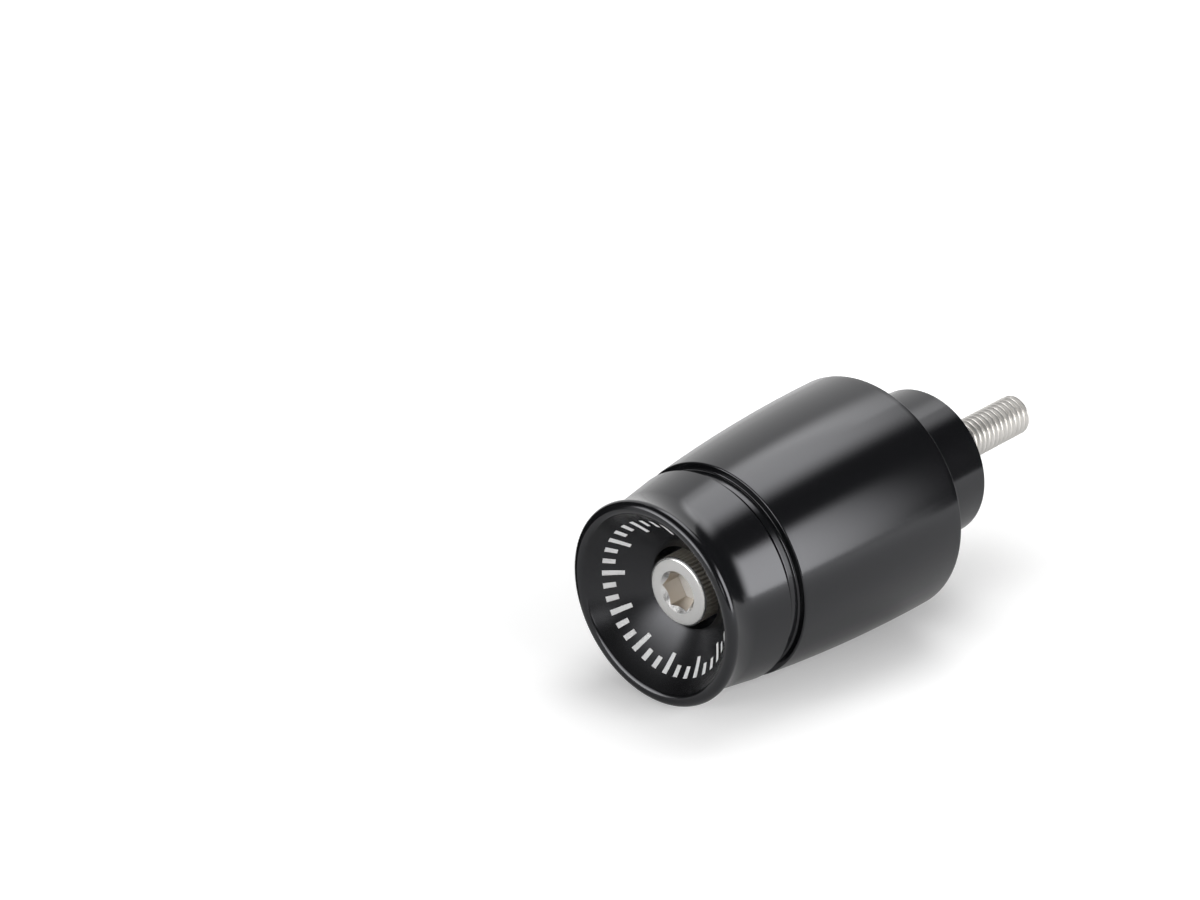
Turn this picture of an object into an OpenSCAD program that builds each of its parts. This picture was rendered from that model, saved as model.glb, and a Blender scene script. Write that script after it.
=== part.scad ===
// Bar end weight for a motorbike handlebar. A flared end cap, a curved weight body and a bar collar,
// all turned from round bar, are drawn together on one axis by a long socket head screw.
// The axis lies along Y: the flared rim faces -Y, and the screw's thread points to +Y.
// The origin is the centre of the collar's flat seat, which meets the end of the bar.
// Every profile is drawn with its radius along x and its station along y. A station is counted
// from the seat towards the rim, so a station of 10 is at Y = -10. All sizes are in millimetres.

/* [Weight body] */
// Largest diameter, at the rear edge beside the collar
body_d = 35; // [32:0.5:45]
// How far the curved outside falls in on each side, from the rear edge to the front edge
body_fall = 1.9; // [1:0.1:3]
// Length of the curved outside, from the rear face to the front edge
body_len = 30.5; // [20:0.5:45]
// Depth of the groove in front of the body, from the front edge down to the land
groove_depth = 1.1; // [0.8:0.1:1.5]
// Radius of the hollow corner between the groove's wall and the land
cove_r = 0.35; // [0.2:0.05:0.6]
// Length from the front edge to the front face, along the land
land_len = 1.6; // [1.2:0.1:2.5]
// Radius of the rounded edges on both sides of the groove
groove_edge_r = 0.25; // [0.1:0.05:0.4]
// Width of the chamfer that breaks each other outer edge
edge_break = 0.15; // [0.05:0.05:0.3]

/* [End cap] */
// How much lower the cap's rear edge lies than the body's front edge
cap_step = 0.3; // [0:0.1:0.5]
// How far the waist lies inside the rear edge, on each side
waist_fall = 1; // [0.6:0.1:1.4]
// Distance of the waist from the top of the lip
flare_len = 3.9; // [3:0.1:5]
// How far the rim stands out past the waist, on each side
rim_rise = 0.55; // [0.3:0.05:1]
// Length from the rear edge to the top of the lip
cap_len = 11.15; // [10:0.05:14]
// Radius of the lip's outer edge
lip_r = 0.5; // [0.3:0.05:0.7]
// Radius over which the top of the lip rolls into the dish
lip_roll = 1.6; // [1:0.1:2.5]
// Steepness of the dish where it leaves the lip, in degrees from the lip's plane
dish_angle = 52; // [48:1:58]
// Depth of the dish, from the top of the lip to the mouth of the counterbore
dish_depth = 6.75; // [6:0.05:8]
// Width of the dark crevice between the cap's rear edge and the body's front face
crevice_w = 0.7; // [0.3:0.1:1.2]
// How far the crevice reaches in below the land
crevice_depth = 0.8; // [0.4:0.1:1.2]

/* [Counterbore for the screw head] */
// Room round the head, on the radius
head_gap = 1; // [0.3:0.1:1.2]
// Height of the counterbore's floor above the seat of the cap on the body
counterbore_floor = 0.8; // [0.4:0.1:2]

/* [Bar collar] */
// Outer diameter, the same as that of the handlebar tube
collar_d = 22; // [20:0.1:26]
// Length between the seat and the body
collar_len = 13.2; // [8:0.1:20]
// Diameter of the spigot that centres the collar in the end of the bar
spigot_d = 13; // [11:0.1:16]
// Length of the spigot
spigot_len = 3; // [2:0.1:6]
// Width of the chamfers at the inboard end of the collar
collar_chamfer = 0.3; // [0.1:0.1:0.5]

/* [Registers between the pieces] */
// Width of the flat seat round the cap's register
cap_seat_w = 2.7; // [2:0.1:4]
// Length of the register that centres the cap in the body
cap_register_len = 5; // [3:0.5:8]
// Width of the flat seat round the collar's register
collar_seat_w = 4; // [3:0.1:5]
// Length of the register that centres the collar in the body
collar_register_len = 2; // [1:0.5:4]
// Clearance on the radius of each register
register_gap = 0.05; // [0.02:0.01:0.1]
// Space left past the end of each register
register_relief = 0.3; // [0.1:0.1:1]

/* [Socket head screw] */
// Outer diameter of the thread
thread_d = 5.95; // [5.8:0.01:6]
// How much thinner the plain shank is than the thread, on each side
shank_fall = 0.3; // [0.2:0.05:0.4]
// Length of the screw under its head
screw_len = 67; // [60:1:90]
// Diameter of the head
head_d = 10; // [9.6:0.1:10.4]
// Height of the head
head_h = 6; // [5:0.1:7]
// Width of the chamfer round the top of the head
head_chamfer = 0.45; // [0.2:0.05:0.8]
// Width of the chamfer at the thread's end
tip_chamfer = 0.7; // [0.3:0.1:1]
// Size of the hexagon socket across its flats
socket_af = 5; // [4:0.5:5.5]
// Depth of the socket, down to the start of its drilled point
socket_depth = 3; // [2:0.1:4]
// How far the socket's mouth is countersunk past its corners
socket_mouth = 0.2; // [0.05:0.05:0.4]
// Clearance on the radius between the thread and the bores that it is pushed through
screw_gap = 0.3; // [0.1:0.05:0.5]

/* [Hidden] */
$fn = 128;
black_anodised = "#1c1d20";
stainless = "#b9b6b0";

// Steps along the curve of the body, along each smaller curve, and round each corner
body_steps = 20;
curve_steps = 12;
corner_steps = 6;
// The socket's drilled point is a cone of 120 degrees, a little narrower than the flats
point_share = 0.9;
// Overlap that makes a cut run clear of a face
clear = 0.1;

// Stations of the faces that the pieces share, from the seat towards the rim
body_rear = collar_len;
body_edge = body_rear + body_len;
body_face = body_edge + land_len;
cap_rear = body_face + crevice_w;
cap_front = cap_rear + cap_len;
head_seat = body_face + counterbore_floor;
head_top = head_seat + head_h;
screw_tip = head_seat - screw_len;

// Radii of the groove, the seats and the bores
body_r = body_d / 2;
front_r = body_r - body_fall;
land_r = front_r - groove_depth;
rebate_r = land_r - crevice_depth;
cap_register_r = rebate_r - cap_seat_w;
cap_rear_r = front_r - cap_step;
collar_r = collar_d / 2;
collar_register_r = collar_r - collar_seat_w;
thread_r = thread_d / 2;
bore_r = thread_r + screw_gap;
head_r = head_d / 2;
counterbore_r = head_r + head_gap;

// The body's outside is one large arc, square to the rear face, that falls to the front edge.
body_curve_r = (body_len * body_len + body_fall * body_fall) / (2 * body_fall);
function body_radius(station) =
    body_r - body_curve_r + sqrt(pow(body_curve_r, 2) - pow(station - body_rear, 2));

// Points of a circular arc between two angles
function arc(centre, r, from, to, steps) =
    [for (i = [0:steps]) let (a = from + (to - from) * i / steps) centre + r * [cos(a), sin(a)]];

// Points of an arc from p to q, bowed to the left of the way from p to q by the given height
function bowed(p, q, height, steps) =
    let (half = norm(q - p) / 2,
         r = (half * half + height * height) / (2 * height),
         along = (q - p) / (2 * half),
         left = [-along.y, along.x],
         spread = asin(half / r))
    [for (i = [0:steps])
        let (a = spread * (2 * i / steps - 1))
        (p + q) / 2 + along * r * sin(a) + left * (r * cos(a) - r + height)];

// The cap's outside: a straight taper from the rear edge runs tangent into the flare's arc,
// which turns at the waist and runs tangent into the lip's outer edge. The top of the lip rolls
// inwards, and the dish leaves the roll tangent and flattens towards the counterbore's mouth.
waist = [cap_rear_r - waist_fall, cap_front - flare_len];
rim_r = waist.x + rim_rise;
lip_edge = [rim_r - lip_r, cap_front - lip_r];
roll = [lip_edge.x, cap_front - lip_roll];
dish_start = roll + lip_roll * [-sin(dish_angle), cos(dish_angle)];
dish_end = [counterbore_r, cap_front - dish_depth];
dish_slope = atan2(dish_start.y - dish_end.y, dish_start.x - dish_end.x);
dish_bow = norm(dish_start - dish_end) / 2 * tan((dish_angle - dish_slope) / 2);
corner_offset = lip_edge - waist;
flare_r = (corner_offset * corner_offset - lip_r * lip_r) / (2 * (lip_r + corner_offset.x));
flare = waist + [flare_r, 0];
taper_start = [cap_rear_r, cap_rear + groove_edge_r];
taper_angle = atan2(flare.y - taper_start.y, flare.x - taper_start.x)
    - acos(flare_r / norm(flare - taper_start));
flare_angle = atan2(lip_edge.y - flare.y, flare.x - lip_edge.x);

// Turns a profile about Y
module turned() {
    rotate([90, 0, 0]) rotate_extrude() children();
}

// Flared cup that closes the outer end, with a dish round the screw's head
module end_cap() {
    register_end = body_face - cap_register_len;
    color(black_anodised) turned() polygon(concat(
        arc(flare, flare_r, 180 + taper_angle, 180 - flare_angle, curve_steps),
        arc(lip_edge, lip_r, -flare_angle, 90, corner_steps),
        arc(roll, lip_roll, 90, 90 + dish_angle, corner_steps),
        bowed(dish_start, dish_end, dish_bow, curve_steps),
        [
            [counterbore_r, head_seat],
            [bore_r, head_seat],
            [bore_r, register_end],
            [cap_register_r - edge_break, register_end],
            [cap_register_r, register_end + edge_break],
            [cap_register_r, body_face],
            [rebate_r, body_face],
            [rebate_r, cap_rear],
        ],
        arc([cap_rear_r - groove_edge_r, cap_rear + groove_edge_r], groove_edge_r, -90, 0, corner_steps)
    ));
}

// Curved weight, with a land in front that makes the groove beside the cap
module weight_body() {
    cap_recess_r = cap_register_r + register_gap;
    cap_recess_end = body_face - cap_register_len - register_relief;
    collar_recess_r = collar_register_r + register_gap;
    collar_recess_end = body_rear + collar_register_len + register_relief;
    curve_start = body_rear + edge_break;
    curve_len = body_len - edge_break - groove_edge_r;
    curve_end_r = body_radius(curve_start + curve_len);
    color(black_anodised) turned() polygon(concat(
        [[body_r - edge_break, body_rear]],
        [for (i = [0:body_steps])
            let (station = curve_start + curve_len * i / body_steps)
            [body_radius(station), station]],
        arc([curve_end_r - groove_edge_r, body_edge - groove_edge_r], groove_edge_r, 0, 90, corner_steps),
        arc([land_r + cove_r, body_edge + cove_r], cove_r, 270, 180, corner_steps),
        [
            [land_r, body_face - edge_break],
            [land_r - edge_break, body_face],
            [cap_recess_r, body_face],
            [cap_recess_r, cap_recess_end],
            [bore_r, cap_recess_end],
            [bore_r, collar_recess_end],
            [collar_recess_r, collar_recess_end],
            [collar_recess_r, body_rear],
        ]
    ));
}

// Round adapter between the weight and the end of the bar
module bar_collar() {
    register_end = collar_len + collar_register_len;
    spigot_r = spigot_d / 2;
    color(black_anodised) turned() polygon([
        [bore_r, -spigot_len],
        [spigot_r - collar_chamfer, -spigot_len],
        [spigot_r, collar_chamfer - spigot_len],
        [spigot_r, 0],
        [collar_r - collar_chamfer, 0],
        [collar_r, collar_chamfer],
        [collar_r, collar_len],
        [collar_register_r, collar_len],
        [collar_register_r, register_end - edge_break],
        [collar_register_r - edge_break, register_end],
        [bore_r, register_end],
    ]);
}

// Hexagon socket cut into the head, with a drilled point below it and a countersunk mouth
module hexagon_socket() {
    flat_r = socket_af / 2;
    corner_r = flat_r / cos(30);
    mouth_h = corner_r + socket_mouth - flat_r;
    point_r = point_share * flat_r;
    point_h = point_r / tan(60);
    point_clear = clear * point_h / point_r;
    rotate([90, 0, 0]) {
        translate([0, 0, head_top - socket_depth])
            cylinder(r = corner_r, h = socket_depth + clear, $fn = 6);
        translate([0, 0, head_top - socket_depth - point_h])
            cylinder(r1 = 0, r2 = point_r + clear, h = point_h + point_clear);
        translate([0, 0, head_top - mouth_h])
            cylinder(r1 = flat_r, r2 = flat_r + mouth_h + clear, h = mouth_h + clear);
    }
}

// Long socket head screw that holds the pieces together and threads into the bar
module cap_screw() {
    shank_r = thread_r - shank_fall;
    color(stainless) difference() {
        turned() polygon([
            [0, screw_tip],
            [thread_r - tip_chamfer, screw_tip],
            [thread_r, screw_tip + tip_chamfer],
            [thread_r, -spigot_len],
            [shank_r, -spigot_len],
            [shank_r, head_seat],
            [head_r, head_seat],
            [head_r, head_top - head_chamfer],
            [head_r - head_chamfer, head_top],
            [0, head_top],
        ]);
        hexagon_socket();
    }
}

end_cap();
weight_body();
bar_collar();
cap_screw();
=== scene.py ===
"""Bar end weight for a motorbike handlebar: a flared end cap, a curved weight body and a bar
collar, all turned and black anodised, drawn together by one long stainless socket head screw.

The axis lies along Y. Outlines are given in millimetres as (radius, station), and a station is
counted from the collar's flat seat towards the flared rim, so station 10 is at Y = -0.010 m.
"""

import math

import bpy
from mathutils import Matrix, Vector


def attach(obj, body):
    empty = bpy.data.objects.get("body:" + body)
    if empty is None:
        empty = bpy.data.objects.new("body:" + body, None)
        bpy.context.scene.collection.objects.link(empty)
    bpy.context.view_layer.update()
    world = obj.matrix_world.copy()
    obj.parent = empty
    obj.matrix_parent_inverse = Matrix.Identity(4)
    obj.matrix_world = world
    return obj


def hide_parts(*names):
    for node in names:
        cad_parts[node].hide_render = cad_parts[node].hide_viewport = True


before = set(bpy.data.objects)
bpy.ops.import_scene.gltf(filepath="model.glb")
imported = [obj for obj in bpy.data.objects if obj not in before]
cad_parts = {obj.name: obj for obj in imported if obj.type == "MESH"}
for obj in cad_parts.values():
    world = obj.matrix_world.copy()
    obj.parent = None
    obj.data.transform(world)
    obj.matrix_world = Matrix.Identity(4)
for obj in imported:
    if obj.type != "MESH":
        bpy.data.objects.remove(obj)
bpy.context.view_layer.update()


# The weight body: the heavy curved barrel in the middle, turned from aluminium bar and black
# anodised with a satin sheen. Its front carries a land that makes the groove beside the cap, and
# shallow bores at both ends take the registers of the cap and the collar.
MM = 0.001
BODY_REAR, BODY_EDGE, BODY_FACE = 13.2, 43.7, 45.3
BODY_R, BODY_LEN, BODY_FALL, BODY_STEPS = 17.5, 30.5, 1.9, 40
BODY_EDGE_R, COVE_R, LAND_EDGE_R = 0.25, 0.35, 0.22
LAND_R, SCREW_BORE_R = 14.5, 3.275
CAP_RECESS_R, CAP_RECESS_FLOOR = 11.05, 40.0
COLLAR_RECESS_R, COLLAR_RECESS_FLOOR = 7.05, 15.5


def arc(centre, radius, start, end, steps):
    """Points of a round corner, from one angle to another in degrees."""
    points = []
    for i in range(steps + 1):
        turn = math.radians(start + (end - start) * i / steps)
        points.append((centre[0] + radius * math.cos(turn), centre[1] + radius * math.sin(turn)))
    return points


def turn_on_lathe(name, outline, steps, closed=True):
    """Draws an outline point by point and spins it round the axis. Returns the piece."""
    bpy.ops.object.select_all(action="DESELECT")
    bpy.ops.mesh.primitive_plane_add(size=0.01)
    piece = bpy.context.object
    piece.name = piece.data.name = name
    bpy.ops.object.mode_set(mode="EDIT")
    bpy.ops.mesh.select_mode(type="VERT")
    bpy.ops.mesh.merge(type="CENTER")
    path = [(r * MM, -s * MM) for r, s in outline]
    if closed:
        path.append(path[0])
    bpy.ops.transform.translate(value=(path[0][0], path[0][1], 0))
    for here, there in zip(path, path[1:]):
        step = (there[0] - here[0], there[1] - here[1], 0)
        bpy.ops.mesh.extrude_vertices_move(TRANSFORM_OT_translate={"value": step})
    bpy.ops.mesh.select_all(action="SELECT")
    bpy.ops.mesh.remove_doubles(threshold=2e-7)
    bpy.ops.mesh.spin(steps=steps, angle=math.tau, center=(0, 0, 0), axis=(0, 1, 0))
    bpy.ops.mesh.select_all(action="SELECT")
    bpy.ops.mesh.remove_doubles(threshold=2e-7)
    bpy.ops.mesh.normals_make_consistent(inside=False)
    bpy.ops.object.mode_set(mode="OBJECT")
    return piece


def select_only(piece):
    """Makes the piece the only selected object and the active one."""
    bpy.ops.object.select_all(action="DESELECT")
    piece.select_set(True)
    bpy.context.view_layer.objects.active = piece


def smooth_turned_faces(piece):
    """Smooth shading that keeps the flat faces flat beside their rounded edges."""
    select_only(piece)
    bpy.ops.object.shade_smooth_by_angle(angle=math.radians(32))
    bpy.ops.object.modifier_add(type="WEIGHTED_NORMAL")
    piece.modifiers[-1].keep_sharp = True
    bpy.ops.object.modifier_apply(modifier=piece.modifiers[-1].name)


def make_material(name, color, roughness, metallic=0):
    """An even material of one colour, roughness and share of metal."""
    material = bpy.data.materials.new(name)
    material.use_nodes = True
    shader = material.node_tree.nodes["Principled BSDF"]
    shader.inputs["Base Color"].default_value = (*color, 1)
    shader.inputs["Roughness"].default_value = roughness
    shader.inputs["Metallic"].default_value = metallic
    return material


def add_grain(material, scale, detail, strength, distance):
    """A fine unevenness of the surface, from noise that is fixed to the piece."""
    nodes, links = material.node_tree.nodes, material.node_tree.links
    place = nodes.new("ShaderNodeTexCoord")
    noise = nodes.new("ShaderNodeTexNoise")
    noise.inputs["Scale"].default_value = scale
    noise.inputs["Detail"].default_value = detail
    links.new(place.outputs["Object"], noise.inputs["Vector"])
    bump = nodes.new("ShaderNodeBump")
    bump.inputs["Strength"].default_value = strength
    bump.inputs["Distance"].default_value = distance
    links.new(noise.outputs["Fac"], bump.inputs["Height"])
    links.new(bump.outputs["Normal"], nodes["Principled BSDF"].inputs["Normal"])


def make_black_anodising(name, roughness):
    """Satin black: a dyed oxide film over finely blasted metal."""
    material = make_material(name, (0.0055, 0.0057, 0.0065), roughness)
    shader = material.node_tree.nodes["Principled BSDF"]
    shader.inputs["IOR"].default_value = 1.54
    shader.inputs["Specular Tint"].default_value = (0.95, 0.955, 1.0, 1)
    add_grain(material, scale=5200, detail=2, strength=0.12, distance=0.00002)
    return material


black_anodising = make_black_anodising("satin_black_anodising", 0.15)


def body_radius(station):
    """The barrel's radius: full at the rear end, then falling along one long arc."""
    curve_r = (BODY_LEN ** 2 + BODY_FALL ** 2) / (2 * BODY_FALL)
    return BODY_R - curve_r + math.sqrt(curve_r ** 2 - (station - BODY_REAR) ** 2)


body_outline = arc((BODY_R - BODY_EDGE_R, BODY_REAR + BODY_EDGE_R), BODY_EDGE_R, -90, 0, 6)
curve_len = BODY_LEN - 2 * BODY_EDGE_R
for i in range(1, BODY_STEPS + 1):
    station = BODY_REAR + BODY_EDGE_R + curve_len * i / BODY_STEPS
    body_outline.append((body_radius(station), station))
front_r = body_radius(BODY_EDGE - BODY_EDGE_R)
body_outline += arc((front_r - BODY_EDGE_R, BODY_EDGE - BODY_EDGE_R), BODY_EDGE_R, 0, 90, 7)[1:]
body_outline += arc((LAND_R + COVE_R, BODY_EDGE + COVE_R), COVE_R, 270, 180, 7)
body_outline += arc((LAND_R - LAND_EDGE_R, BODY_FACE - LAND_EDGE_R), LAND_EDGE_R, 0, 90, 6)
body_outline += [
    (CAP_RECESS_R, BODY_FACE), (CAP_RECESS_R, CAP_RECESS_FLOOR),
    (SCREW_BORE_R, CAP_RECESS_FLOOR), (SCREW_BORE_R, COLLAR_RECESS_FLOOR),
    (COLLAR_RECESS_R, COLLAR_RECESS_FLOOR), (COLLAR_RECESS_R, BODY_REAR),
]
weight_body = turn_on_lathe("turned_weight_body", body_outline, 240)
weight_body.data.materials.append(black_anodising)
smooth_turned_faces(weight_body)
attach(weight_body, "root")
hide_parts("weight_body")


# The end cap: a cup turned from the same bar, with a tapered outside that turns at a waist and
# flares to a rounded lip. A bowed dish leads down to the counterbore for the screw's head, and a
# ring of pale index marks is engraved through the anodising half way up the dish.
CAP_REAR, CAP_FRONT, CAP_REAR_R, CAP_EDGE_R = 46.0, 57.25, 15.3, 0.25
WAIST_R, WAIST, RIM_R = 14.3, 53.25, 14.82
LIP_R, LIP_ROLL, DISH_ANGLE = 0.95, 1.15, 52
COUNTERBORE_R, HEAD_SEAT = 6.0, 46.1
DISH_FOOT, DISH_FOOT_EDGE_R, DISH_FOOT_DROP = 50.4, 0.1, 0.06
CAP_REGISTER_R, CAP_REGISTER_END, CAP_REGISTER_CHAMFER = 11.0, 40.3, 0.15
CREVICE_R = 13.7
MARKS_IN_R, MARKS_OUT_R, MARKS_SHORT_R = 9.1, 11.35, 10.1
MARK_PITCH, MARK_HALF_WIDTH = 10, 1.6


def bowed(p, q, height, steps):
    """Points of a shallow arc from p to q that bows to the left of the way by the height."""
    p, q = Vector(p), Vector(q)
    half = (q - p).length / 2
    radius = (half ** 2 + height ** 2) / (2 * height)
    along = (q - p) / (2 * half)
    left = Vector((-along.y, along.x))
    spread = math.asin(half / radius)
    points = []
    for i in range(steps + 1):
        turn = spread * (2 * i / steps - 1)
        rise = radius * math.cos(turn) - radius + height
        points.append(tuple((p + q) / 2 + along * radius * math.sin(turn) + left * rise))
    return points


# Taper, flare, lip and dish run into one another without a kink: the angles at which their arcs
# meet are worked out from the waist, the rim and the lip.
lip_edge = Vector((RIM_R - LIP_R, CAP_FRONT - LIP_R))
roll = Vector((lip_edge.x, CAP_FRONT - LIP_ROLL))
dish_turn = math.radians(DISH_ANGLE)
dish_start = roll + LIP_ROLL * Vector((-math.sin(dish_turn), math.cos(dish_turn)))
dish_end = Vector((COUNTERBORE_R, DISH_FOOT))
across = dish_start - dish_end
dish_bow = across.length / 2 * math.tan((dish_turn - math.atan2(across.y, across.x)) / 2)
waist = Vector((WAIST_R, WAIST))
reach = lip_edge - waist
flare_r = (reach.length_squared - LIP_R ** 2) / (2 * (LIP_R + reach.x))
flare = waist + Vector((flare_r, 0))
taper_start = Vector((CAP_REAR_R, CAP_REAR + CAP_EDGE_R))
to_flare = flare - taper_start
taper_turn = math.atan2(to_flare.y, to_flare.x) - math.acos(flare_r / to_flare.length)
taper_angle = math.degrees(taper_turn)
flare_angle = math.degrees(math.atan2(lip_edge.y - flare.y, flare.x - lip_edge.x))

cap_outline = arc(flare, flare_r, 180 + taper_angle, 180 - flare_angle, 20)
cap_outline += arc(lip_edge, LIP_R, -flare_angle, 90, 10)[1:]
cap_outline += arc(roll, LIP_ROLL, 90, 90 + DISH_ANGLE, 14)[1:]
dish = bowed(dish_start, dish_end, dish_bow, 24)
for band_r in (MARKS_OUT_R, MARKS_SHORT_R, MARKS_IN_R):
    # The dish's nearest ring moves along the curve to each end of the engraved marks.
    k = next(i for i in range(len(dish) - 1) if dish[i][0] >= band_r > dish[i + 1][0])
    share = (dish[k][0] - band_r) / (dish[k][0] - dish[k + 1][0])
    ring = (band_r, dish[k][1] + share * (dish[k + 1][1] - dish[k][1]))
    dish[k if share < 0.5 else k + 1] = ring
cap_outline += dish[1:-1]
cap_outline += arc(
    (COUNTERBORE_R + DISH_FOOT_EDGE_R, DISH_FOOT - DISH_FOOT_DROP),
    DISH_FOOT_EDGE_R, 125, 180, 3,
)
cap_outline += [
    (COUNTERBORE_R, HEAD_SEAT), (SCREW_BORE_R, HEAD_SEAT), (SCREW_BORE_R, CAP_REGISTER_END),
    (CAP_REGISTER_R - CAP_REGISTER_CHAMFER, CAP_REGISTER_END),
    (CAP_REGISTER_R, CAP_REGISTER_END + CAP_REGISTER_CHAMFER),
    (CAP_REGISTER_R, BODY_FACE), (CREVICE_R, BODY_FACE), (CREVICE_R, CAP_REAR),
]
cap_outline += arc((CAP_REAR_R - CAP_EDGE_R, CAP_REAR + CAP_EDGE_R), CAP_EDGE_R, -90, 0, 7)
end_cap = turn_on_lathe("flared_end_cap", cap_outline, 360)


def assign_to_faces(piece, slot, chosen):
    """Gives a material slot to the faces that the test picks.

    The test gets the radius, the station and the turn of the face's centre, and its normal.
    """
    select_only(piece)
    bpy.ops.object.mode_set(mode="EDIT")
    bpy.ops.mesh.select_all(action="DESELECT")
    bpy.ops.mesh.select_mode(type="FACE")
    bpy.ops.object.mode_set(mode="OBJECT")
    for face in piece.data.polygons:
        r = math.hypot(face.center.x, face.center.z) / MM
        turn = math.degrees(math.atan2(face.center.x, face.center.z)) % 360
        face.select = chosen(r, -face.center.y / MM, turn, face.normal)
    bpy.ops.object.mode_set(mode="EDIT")
    piece.active_material_index = slot
    bpy.ops.object.material_slot_assign()
    bpy.ops.mesh.select_all(action="DESELECT")
    bpy.ops.object.mode_set(mode="OBJECT")


def is_dish(r, s, turn, normal):
    return s > DISH_FOOT and r < dish_start.x and normal.y < -0.3


def is_mark(r, s, turn, normal):
    if not (is_dish(r, s, turn, normal) and MARKS_IN_R < r < MARKS_OUT_R):
        return False
    long_mark = round(turn / MARK_PITCH) % 3 == 0
    off_centre = abs((turn + MARK_PITCH / 2) % MARK_PITCH - MARK_PITCH / 2)
    return off_centre < MARK_HALF_WIDTH and (long_mark or r > MARKS_SHORT_R)


end_cap.data.materials.append(black_anodising)
end_cap.data.materials.append(make_black_anodising("brushed_black_anodising", 0.27))
end_cap.data.materials.append(make_material("pale_engraving", (0.88, 0.88, 0.88), 0.55))
assign_to_faces(end_cap, 1, is_dish)
assign_to_faces(end_cap, 2, is_mark)
smooth_turned_faces(end_cap)
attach(end_cap, "root")
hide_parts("end_cap")


# The bar collar: a plain cylinder the size of the handlebar tube, between the weight and the end
# of the bar. Its flat inboard face is the seat, and a short spigot centres it in the bar.
COLLAR_R, SPIGOT_R, SPIGOT_LEN, COLLAR_EDGE_R = 11.0, 6.5, 3.0, 0.3
COLLAR_REGISTER_R, COLLAR_REGISTER_END, COLLAR_REGISTER_CHAMFER = 7.0, 15.2, 0.15

collar_outline = arc((COLLAR_R - COLLAR_EDGE_R, COLLAR_EDGE_R), COLLAR_EDGE_R, -90, 0, 5)
collar_outline += [
    (COLLAR_R, BODY_REAR), (COLLAR_REGISTER_R, BODY_REAR),
    (COLLAR_REGISTER_R, COLLAR_REGISTER_END - COLLAR_REGISTER_CHAMFER),
    (COLLAR_REGISTER_R - COLLAR_REGISTER_CHAMFER, COLLAR_REGISTER_END),
    (SCREW_BORE_R, COLLAR_REGISTER_END), (SCREW_BORE_R, -SPIGOT_LEN),
]
collar_outline += arc(
    (SPIGOT_R - COLLAR_EDGE_R, COLLAR_EDGE_R - SPIGOT_LEN), COLLAR_EDGE_R, -90, 0, 5
)
collar_outline += [(SPIGOT_R, 0.0)]
bar_collar = turn_on_lathe("turned_bar_collar", collar_outline, 200)
bar_collar.data.materials.append(black_anodising)
smooth_turned_faces(bar_collar)
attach(bar_collar, "root")
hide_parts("bar_collar")


# The socket head screw: one long stainless screw that clamps the three turned pieces. Its head is
# cold formed with a straight knurl and a hexagon socket, and its thread is rolled, 1 mm pitch,
# and stands out of the spigot into the handlebar.
HEAD_TOP, HEAD_R, HEAD_FACE_R = 52.1, 5.0, 4.0
HEAD_FOOT_CHAMFER, HEAD_EDGE_R = 0.2, 0.42
SHANK_R, SHANK_FOOT, THREAD_R, THREAD_ROOT_R, PITCH = 2.675, 1.0, 2.975, 2.42, 1.0
SCREW_TIP, TIP_CHAMFER = -20.9, 0.75
KNURL_RIBS, KNURL_STEPS, KNURL_END, KNURL_DEPTH = 48, 4, 50.9, 0.34
SOCKET_AF, SOCKET_DEPTH, PUNCH_LEN = 5.0, 3.4, 4
MOUTH_R, MOUTH_IN_R, MOUTH_DEPTH = 3.12, 2.45, 0.62
CUTTER_CLEAR, CUTTER_OVERRUN = 0.02, 0.3

head_outline = [
    (0, SHANK_FOOT), (SHANK_R, SHANK_FOOT), (SHANK_R, HEAD_SEAT),
    (HEAD_R - HEAD_FOOT_CHAMFER, HEAD_SEAT), (HEAD_R, HEAD_SEAT + HEAD_FOOT_CHAMFER),
    (HEAD_R, KNURL_END),
]
head_outline += arc((HEAD_R - HEAD_EDGE_R, HEAD_TOP - HEAD_EDGE_R), HEAD_EDGE_R, 0, 90, 8)
head_outline += [(HEAD_FACE_R, HEAD_TOP), (0, HEAD_TOP)]
head_steps = KNURL_RIBS * KNURL_STEPS
cap_screw = turn_on_lathe("socket_head_screw", head_outline, head_steps, closed=False)

# The knurl: two of every four lines down the side of the head are pressed in.
bpy.ops.object.mode_set(mode="EDIT")
bpy.ops.mesh.select_all(action="DESELECT")
bpy.ops.mesh.select_mode(type="VERT")
bpy.ops.object.mode_set(mode="OBJECT")
for corner in cap_screw.data.vertices:
    r, s = math.hypot(corner.co.x, corner.co.z) / MM, -corner.co.y / MM
    line = round(math.degrees(math.atan2(corner.co.x, corner.co.z)) / (360 / head_steps))
    on_side = r > HEAD_R - 0.01 and HEAD_SEAT + 0.1 < s < KNURL_END + 0.1
    corner.select = on_side and line % KNURL_STEPS in (0, 1)
bpy.ops.object.mode_set(mode="EDIT")
sunk = (HEAD_R - KNURL_DEPTH) / HEAD_R
bpy.ops.transform.resize(value=(sunk, 1, sunk), center_override=(0, 0, 0))
bpy.ops.mesh.select_all(action="DESELECT")
bpy.ops.object.mode_set(mode="OBJECT")


def cut_with(piece, cutter, operation):
    """Applies a boolean of the cutter to the piece and removes the cutter."""
    select_only(piece)
    bpy.ops.object.modifier_add(type="BOOLEAN")
    piece.modifiers[-1].operation = operation
    piece.modifiers[-1].object = cutter
    piece.modifiers[-1].solver = "EXACT"
    bpy.ops.object.modifier_apply(modifier=piece.modifiers[-1].name)
    bpy.data.objects.remove(cutter)


def along_axis(station):
    """The place on the axis at the station, in metres."""
    return (0, -station * MM, 0)


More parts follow.
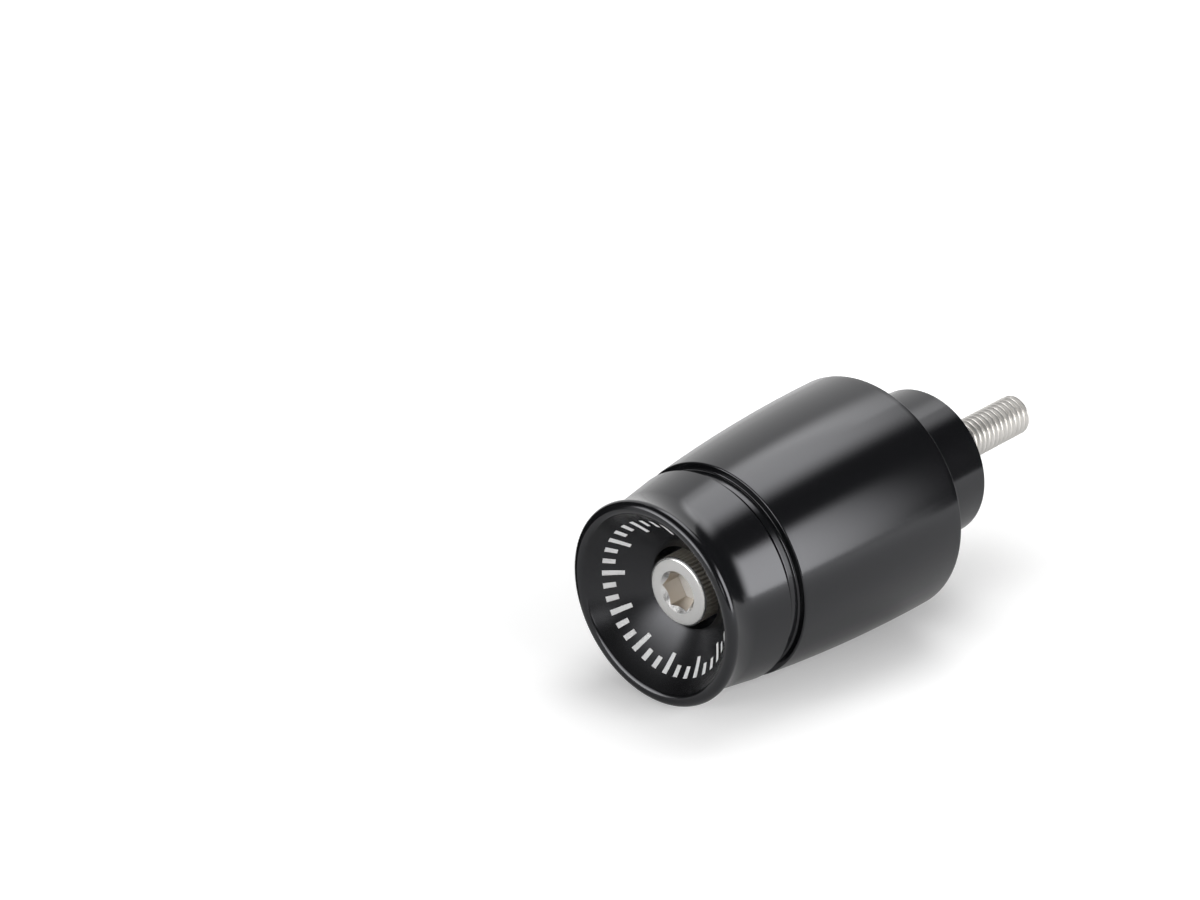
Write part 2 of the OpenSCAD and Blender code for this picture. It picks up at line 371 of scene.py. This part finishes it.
# The hexagon punch, with a flat end and a corner turned to the side
corner_r = SOCKET_AF / 2 / math.cos(math.radians(30))
bpy.ops.object.select_all(action="DESELECT")
bpy.ops.mesh.primitive_cylinder_add(
    vertices=6, radius=corner_r * MM, depth=PUNCH_LEN * MM,
    location=along_axis(HEAD_TOP - SOCKET_DEPTH + PUNCH_LEN / 2), rotation=(math.pi / 2, 0, 0),
)
punch = bpy.context.object
bpy.ops.object.mode_set(mode="EDIT")
bpy.ops.mesh.select_all(action="SELECT")
bpy.ops.transform.rotate(
    value=math.radians(30), orient_axis="Z", orient_type="LOCAL",
    center_override=along_axis(HEAD_TOP),
)
bpy.ops.object.mode_set(mode="OBJECT")
cut_with(cap_screw, punch, "DIFFERENCE")

# The countersink round the hexagon's mouth
mouth_outline = [
    (0, HEAD_TOP - MOUTH_DEPTH), (MOUTH_IN_R, HEAD_TOP - MOUTH_DEPTH),
    (MOUTH_R, HEAD_TOP + CUTTER_CLEAR), (MOUTH_R, HEAD_TOP + CUTTER_OVERRUN),
    (0, HEAD_TOP + CUTTER_OVERRUN),
]
mouth = turn_on_lathe("mouth_countersink", mouth_outline, 96, closed=False)
cut_with(cap_screw, mouth, "DIFFERENCE")

# The rolled thread: one pitch of its outline as (share of the pitch, height over the root), wound
# along the axis, cut to length and trimmed by the stud's form. The winding's own places are along
# +Y. A short core joins it to the shank.
WINDING_START, WINDING_TURNS, WINDING_OUTER_END, WINDING_INNER_END = 22.5, 24, 21.0, -0.5
STUD_TOP, CORE_R, CORE_LEN = 0.4, SHANK_R - 0.3, 2.0
bpy.ops.object.select_all(action="DESELECT")
bpy.ops.mesh.primitive_plane_add(size=0.01)
thread = bpy.context.object
thread.name = thread.data.name = "rolled_thread"
bpy.ops.object.mode_set(mode="EDIT")
bpy.ops.mesh.merge(type="CENTER")
depth = THREAD_R - THREAD_ROOT_R
tooth = [(0, 0), (0.1, 0.02), (0.42, depth * 0.95), (0.47, depth), (0.53, depth),
         (0.58, depth * 0.95), (0.9, 0.02), (1.0, 0)]
bpy.ops.transform.translate(value=(THREAD_ROOT_R * MM, WINDING_START * MM, 0))
for here, there in zip(tooth, tooth[1:]):
    step = ((there[1] - here[1]) * MM, -(there[0] - here[0]) * PITCH * MM, 0)
    bpy.ops.mesh.extrude_vertices_move(TRANSFORM_OT_translate={"value": step})
bpy.ops.object.mode_set(mode="OBJECT")
bpy.ops.object.modifier_add(type="SCREW")
winding = thread.modifiers[-1]
winding.axis = "Y"
winding.angle = math.tau
winding.screw_offset = -PITCH * MM
winding.iterations = WINDING_TURNS
winding.steps = winding.render_steps = 64
winding.use_merge_vertices = True
winding.merge_threshold = 1e-7
bpy.ops.object.modifier_apply(modifier=winding.name)
bpy.ops.object.mode_set(mode="EDIT")
bpy.ops.mesh.select_all(action="SELECT")
bpy.ops.mesh.remove_doubles(threshold=2e-7)
for end, outward in ((WINDING_OUTER_END, 1), (WINDING_INNER_END, -1)):
    bpy.ops.mesh.bisect(
        plane_co=(0, end * MM, 0), plane_no=(0, outward, 0), use_fill=True, clear_outer=True
    )
    bpy.ops.mesh.select_all(action="SELECT")
bpy.ops.mesh.normals_make_consistent(inside=False)
bpy.ops.object.mode_set(mode="OBJECT")
stud_outline = [
    (0, SCREW_TIP), (THREAD_R - TIP_CHAMFER, SCREW_TIP),
    (THREAD_R + CUTTER_CLEAR, SCREW_TIP + TIP_CHAMFER), (THREAD_R + CUTTER_CLEAR, STUD_TOP),
    (0, STUD_TOP),
]
stud_form = turn_on_lathe("stud_form", stud_outline, 64, closed=False)
cut_with(thread, stud_form, "INTERSECT")
core_outline = [(0, 0), (CORE_R, 0), (CORE_R, CORE_LEN), (0, CORE_LEN)]
shank_end = turn_on_lathe("shank_end", core_outline, 64, closed=False)
cut_with(thread, shank_end, "UNION")
cut_with(cap_screw, thread, "UNION")
bpy.ops.object.mode_set(mode="EDIT")
bpy.ops.mesh.select_all(action="SELECT")
bpy.ops.mesh.fill_holes(sides=6)
bpy.ops.object.mode_set(mode="OBJECT")


def is_knurl(r, s, turn, normal):
    return r > HEAD_R - KNURL_DEPTH - 0.1 and HEAD_SEAT + 0.1 < s < HEAD_TOP - HEAD_EDGE_R


def is_thread(r, s, turn, normal):
    return s < 0


def is_socket_wall(r, s, turn, normal):
    return r < corner_r and HEAD_TOP - SOCKET_DEPTH < s < HEAD_TOP and abs(normal.y) < 0.1


def is_socket_floor(r, s, turn, normal):
    return r < corner_r and abs(s - HEAD_TOP + SOCKET_DEPTH) < 0.1 and normal.y < -0.9


# Bright tumbled steel, duller on the knurl and thread; the socket walls get painted shade and its
# floor a painted highlight
stainless = make_material("bright_stainless", (0.75, 0.745, 0.735), 0.26, metallic=1)
add_grain(stainless, scale=2600, detail=3, strength=0.5, distance=0.00004)
cap_screw.data.materials.clear()
for steel in (
    stainless,
    make_material("rolled_knurl", (0.46, 0.43, 0.38), 0.45, metallic=0.4),
    make_material("rolled_thread_steel", (0.78, 0.76, 0.73), 0.33, metallic=0.75),
    # Painted shade: the socket walls, a darker and warmer copy of the head's steel
    make_material("socket_wall_painted_shade", (0.56, 0.51, 0.45), 0.3, metallic=1),
    # Painted highlight: the socket floor, a near-white, half matt copy of the steel
    make_material("socket_floor_painted_highlight", (0.9, 0.89, 0.87), 0.4, metallic=0.5),
):
    cap_screw.data.materials.append(steel)
for slot, chosen in enumerate((is_knurl, is_thread, is_socket_wall, is_socket_floor), start=1):
    assign_to_faces(cap_screw, slot, chosen)
smooth_turned_faces(cap_screw)
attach(cap_screw, "root")
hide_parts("cap_screw")


# The table that the weight lies on: plain white, tilted in this frame so that it touches the
# body's rear edge and the rim, as the weight rests in life. It keeps the lamps' soft shadow. A
# glow that only the camera and reflections see brightens it with distance to the white of the
# backdrop, and stays dim close to the weight as painted shadow.
TABLE_TILT = math.atan2(BODY_R - RIM_R, CAP_FRONT - LIP_R - BODY_REAR)
TABLE_SIZE, TABLE_GAP = 6, 0.02
# The glow's painted shadow reaches further along the axis than across it
LENGTHWISE_SQUEEZE = 0.47
# Glow fades (near end, far end, low, high): low near the weight as painted shadow, rising to
# white
PAINTED_SHADOW_GLOW_FADES = ((0.005, 0.024, 0.1, 0.32), (0.02, 0.2, 0.0, 0.7))
DIMMED_IN_GLOSS = 0.42


def combine(tree, operation, first, second):
    """A math node on two sockets, or on a socket and a number. Returns its output."""
    node = tree.nodes.new("ShaderNodeMath")
    node.operation = operation
    for socket, value in zip(node.inputs, (first, second)):
        if isinstance(value, (int, float)):
            socket.default_value = value
        else:
            tree.links.new(value, socket)
    return node.outputs[0]


def seen_directly(tree):
    """1 where the camera looks, also by reflection or through glass, and 0 for diffuse light."""
    ray = tree.nodes.new("ShaderNodeLightPath")
    direct = combine(tree, "MAXIMUM", ray.outputs["Is Camera Ray"], ray.outputs["Is Glossy Ray"])
    return combine(tree, "MAXIMUM", direct, ray.outputs["Is Transmission Ray"])


bpy.ops.object.select_all(action="DESELECT")
bpy.ops.mesh.primitive_plane_add(
    size=TABLE_SIZE, location=(0, -BODY_REAR * MM, -(BODY_R + TABLE_GAP) * MM)
)
table = bpy.context.object
table.name = "white_table"
table.rotation_euler = (-TABLE_TILT, 0, 0)
white_table = bpy.data.materials.new("white_table")
white_table.use_nodes = True
table_tree = white_table.node_tree
table_tree.nodes.remove(table_tree.nodes["Principled BSDF"])
paint = table_tree.nodes.new("ShaderNodeBsdfDiffuse")
paint.inputs["Color"].default_value = (0.8, 0.8, 0.8, 1)

spot = table_tree.nodes.new("ShaderNodeTexCoord")
squeeze = table_tree.nodes.new("ShaderNodeVectorMath")
squeeze.operation = "MULTIPLY"
squeeze.inputs[1].default_value = (1, LENGTHWISE_SQUEEZE, 1)
table_tree.links.new(spot.outputs["Object"], squeeze.inputs[0])
far = table_tree.nodes.new("ShaderNodeVectorMath")
far.operation = "LENGTH"
table_tree.links.new(squeeze.outputs[0], far.inputs[0])
brightness = 0
for near_end, far_end, low, high in PAINTED_SHADOW_GLOW_FADES:
    fade = table_tree.nodes.new("ShaderNodeMapRange")
    fade.inputs["From Min"].default_value = near_end
    fade.inputs["From Max"].default_value = far_end
    fade.inputs["To Min"].default_value = low
    fade.inputs["To Max"].default_value = high
    table_tree.links.new(far.outputs["Value"], fade.inputs["Value"])
    brightness = combine(table_tree, "ADD", fade.outputs["Result"], brightness)
glow = table_tree.nodes.new("ShaderNodeEmission")
glow_on = combine(table_tree, "MULTIPLY", seen_directly(table_tree), brightness)
table_tree.links.new(glow_on, glow.inputs["Strength"])
both = table_tree.nodes.new("ShaderNodeAddShader")
table_tree.links.new(paint.outputs[0], both.inputs[0])
table_tree.links.new(glow.outputs[0], both.inputs[1])

ray = table_tree.nodes.new("ShaderNodeLightPath")
dimmer = combine(table_tree, "MULTIPLY", ray.outputs["Is Glossy Ray"], DIMMED_IN_GLOSS)
in_gloss = table_tree.nodes.new("ShaderNodeMixShader")
table_tree.links.new(dimmer, in_gloss.inputs["Fac"])
table_tree.links.new(both.outputs[0], in_gloss.inputs[1])
table_tree.links.new(in_gloss.outputs[0], table_tree.nodes["Material Output"].inputs["Surface"])
table.data.materials.append(white_table)


# The studio round it: a black tent that only reflections see, open towards the white backdrop
# behind and to the left. Soft boxes stand above, on the right and in front. The front one and a
# low reflector only show in reflections, and the front fill only lights matt surfaces.
CENTRE = Vector((0, -0.03, 0))
BOX_DISTANCE = 0.7
TENT_R, OPEN_FROM, OPEN_TO, OPEN_UP_TO = 1.2, -100, -10, 50


def direction(azimuth, elevation):
    """A direction from the weight: azimuth from +Y towards +X, elevation above the horizon."""
    a, e = math.radians(azimuth), math.radians(elevation)
    return Vector((math.sin(a) * math.cos(e), math.cos(a) * math.cos(e), math.sin(e)))


bpy.ops.object.select_all(action="DESELECT")
bpy.ops.mesh.primitive_uv_sphere_add(segments=72, ring_count=36, radius=TENT_R, location=CENTRE)
tent = bpy.context.object
tent.name = "black_tent"
bpy.ops.object.mode_set(mode="EDIT")
bpy.ops.mesh.select_all(action="DESELECT")
bpy.ops.mesh.select_mode(type="FACE")
bpy.ops.object.mode_set(mode="OBJECT")
for face in tent.data.polygons:
    azimuth = math.degrees(math.atan2(face.center.x, face.center.y))
    elevation = math.degrees(math.asin(max(-1, min(1, face.center.z / face.center.length))))
    in_opening = OPEN_FROM < azimuth < OPEN_TO and elevation < OPEN_UP_TO
    face.select = elevation < 0 or in_opening
bpy.ops.object.mode_set(mode="EDIT")
bpy.ops.mesh.delete(type="FACE")
bpy.ops.object.mode_set(mode="OBJECT")
black_cloth = make_material("black_cloth", (0.02, 0.02, 0.02), 1)


def seen_in_gloss_only(piece):
    """Covers the piece in black cloth that only reflections see."""
    piece.data.materials.append(black_cloth)
    piece.visible_camera = piece.visible_diffuse = piece.visible_shadow = False
    piece.visible_transmission = piece.visible_volume_scatter = False


seen_in_gloss_only(tent)

# A low black card on the table, behind and to the right
bpy.ops.object.select_all(action="DESELECT")
bpy.ops.mesh.primitive_plane_add(
    size=1, location=CENTRE + direction(21, -4) * 0.27,
    rotation=(math.pi / 2, 0, math.radians(-21)),
)
card = bpy.context.object
card.name = "black_card"
card.scale = (0.29, 0.05, 1)
seen_in_gloss_only(card)

# A dark stepped drum in front and to the left, which the cap and the body mirror
drum_outline = [
    (0, 0), (11, 0), (11, 13), (17.5, 13), (15.5, 44), (14.3, 53), (14.85, 57), (0, 57),
]
drum = turn_on_lathe("dark_drum", drum_outline, 48, closed=False)
drum.rotation_euler = (-math.pi / 2 - TABLE_TILT, 0, 0)
drum.location = (-0.0383, -0.0684, -0.0141)
seen_in_gloss_only(drum)


def soft_box(name, place, aim, width, height, power, edges):
    """A soft box that fades out over a share of its size at its -X, +X, -Y and +Y edges."""
    bpy.ops.object.select_all(action="DESELECT")
    bpy.ops.object.light_add(type="AREA", location=place)
    box = bpy.context.object
    box.name = name
    box.data.shape = "RECTANGLE"
    box.data.size, box.data.size_y = width, height
    box.data.energy = power
    box.rotation_euler = (Vector(aim) - Vector(place)).to_track_quat("-Z", "Y").to_euler()
    box.data.use_nodes = True
    cloth = box.data.node_tree
    spot = cloth.nodes.new("ShaderNodeNewGeometry")
    parts = cloth.nodes.new("ShaderNodeSeparateXYZ")
    cloth.links.new(spot.outputs["Parametric"], parts.inputs[0])
    level = 1
    for axis, near, far in (("X", edges[0], edges[1]), ("Y", edges[2], edges[3])):
        for start, end in ((0, near), (1, 1 - far)):
            fade = cloth.nodes.new("ShaderNodeMapRange")
            fade.interpolation_type = "SMOOTHSTEP"
            fade.inputs["From Min"].default_value = start
            fade.inputs["From Max"].default_value = end
            cloth.links.new(parts.outputs[axis], fade.inputs["Value"])
            level = combine(cloth, "MULTIPLY", fade.outputs["Result"], level)
    cloth.links.new(level, cloth.nodes["Emission"].inputs["Strength"])
    return box


soft_box(
    "overhead_soft_box", (-0.14, 0.38, 0.6), (-0.14, 0.38, 0),
    width=0.72, height=0.8, power=7.1, edges=(0.36, 0.31, 0.15, 0.6),
)
soft_box(
    "side_soft_box", CENTRE + direction(71, 20.8) * BOX_DISTANCE, CENTRE,
    width=0.64, height=0.56, power=6.9, edges=(0.05, 0.46, 0.04, 0.26),
)
front = soft_box(
    "front_soft_box", CENTRE + direction(199, 27) * BOX_DISTANCE, CENTRE,
    width=1.2, height=0.54, power=13.5, edges=(0.4, 0.36, 0.03, 0.8),
)
front.visible_diffuse = False
fill = soft_box(
    "front_fill", CENTRE + direction(186, 20) * 0.8, CENTRE,
    width=0.4, height=0.2, power=2.9, edges=(0.1, 0.1, 0.1, 0.1),
)
fill.visible_glossy = False
glint = soft_box(
    "low_front_reflector", CENTRE + direction(135, 14) * BOX_DISTANCE, CENTRE,
    width=0.22, height=0.18, power=0.3, edges=(0.25, 0.25, 0.25, 0.25),
)
glint.visible_diffuse = False

# The white backdrop: full white to look at, and much weaker as light on the weight
world = bpy.data.worlds.new("white_studio")
bpy.context.scene.world = world
world.use_nodes = True
sky = world.node_tree
background = sky.nodes["Background"]
background.inputs["Color"].default_value = (1, 1, 1, 1)
strength = sky.nodes.new("ShaderNodeMapRange")
strength.inputs["To Min"].default_value = 0.25
strength.inputs["To Max"].default_value = 1.05
sky.links.new(seen_directly(sky), strength.inputs["Value"])
sky.links.new(strength.outputs["Result"], background.inputs["Strength"])


# The camera stands to the right of the rim and above it, with a long lens, as in the photograph.
# Its place and its three directions were fitted to the weight's edges there.
bpy.ops.object.select_all(action="DESELECT")
bpy.ops.object.camera_add(location=(0.30791, -0.37613, 0.24682))
camera = bpy.context.object
right = Vector((0.71748, 0.69620, -0.02308))
up = Vector((-0.29853, 0.33726, 0.89282))
back = Vector((0.62937, -0.63369, 0.44981))
camera.rotation_euler = Matrix((right, up, back)).transposed().to_euler()
camera.data.sensor_width = 36
camera.data.lens = 113.7
camera.data.clip_start = 0.01
bpy.context.scene.camera = camera
bpy.context.scene.view_settings.view_transform = "Standard"
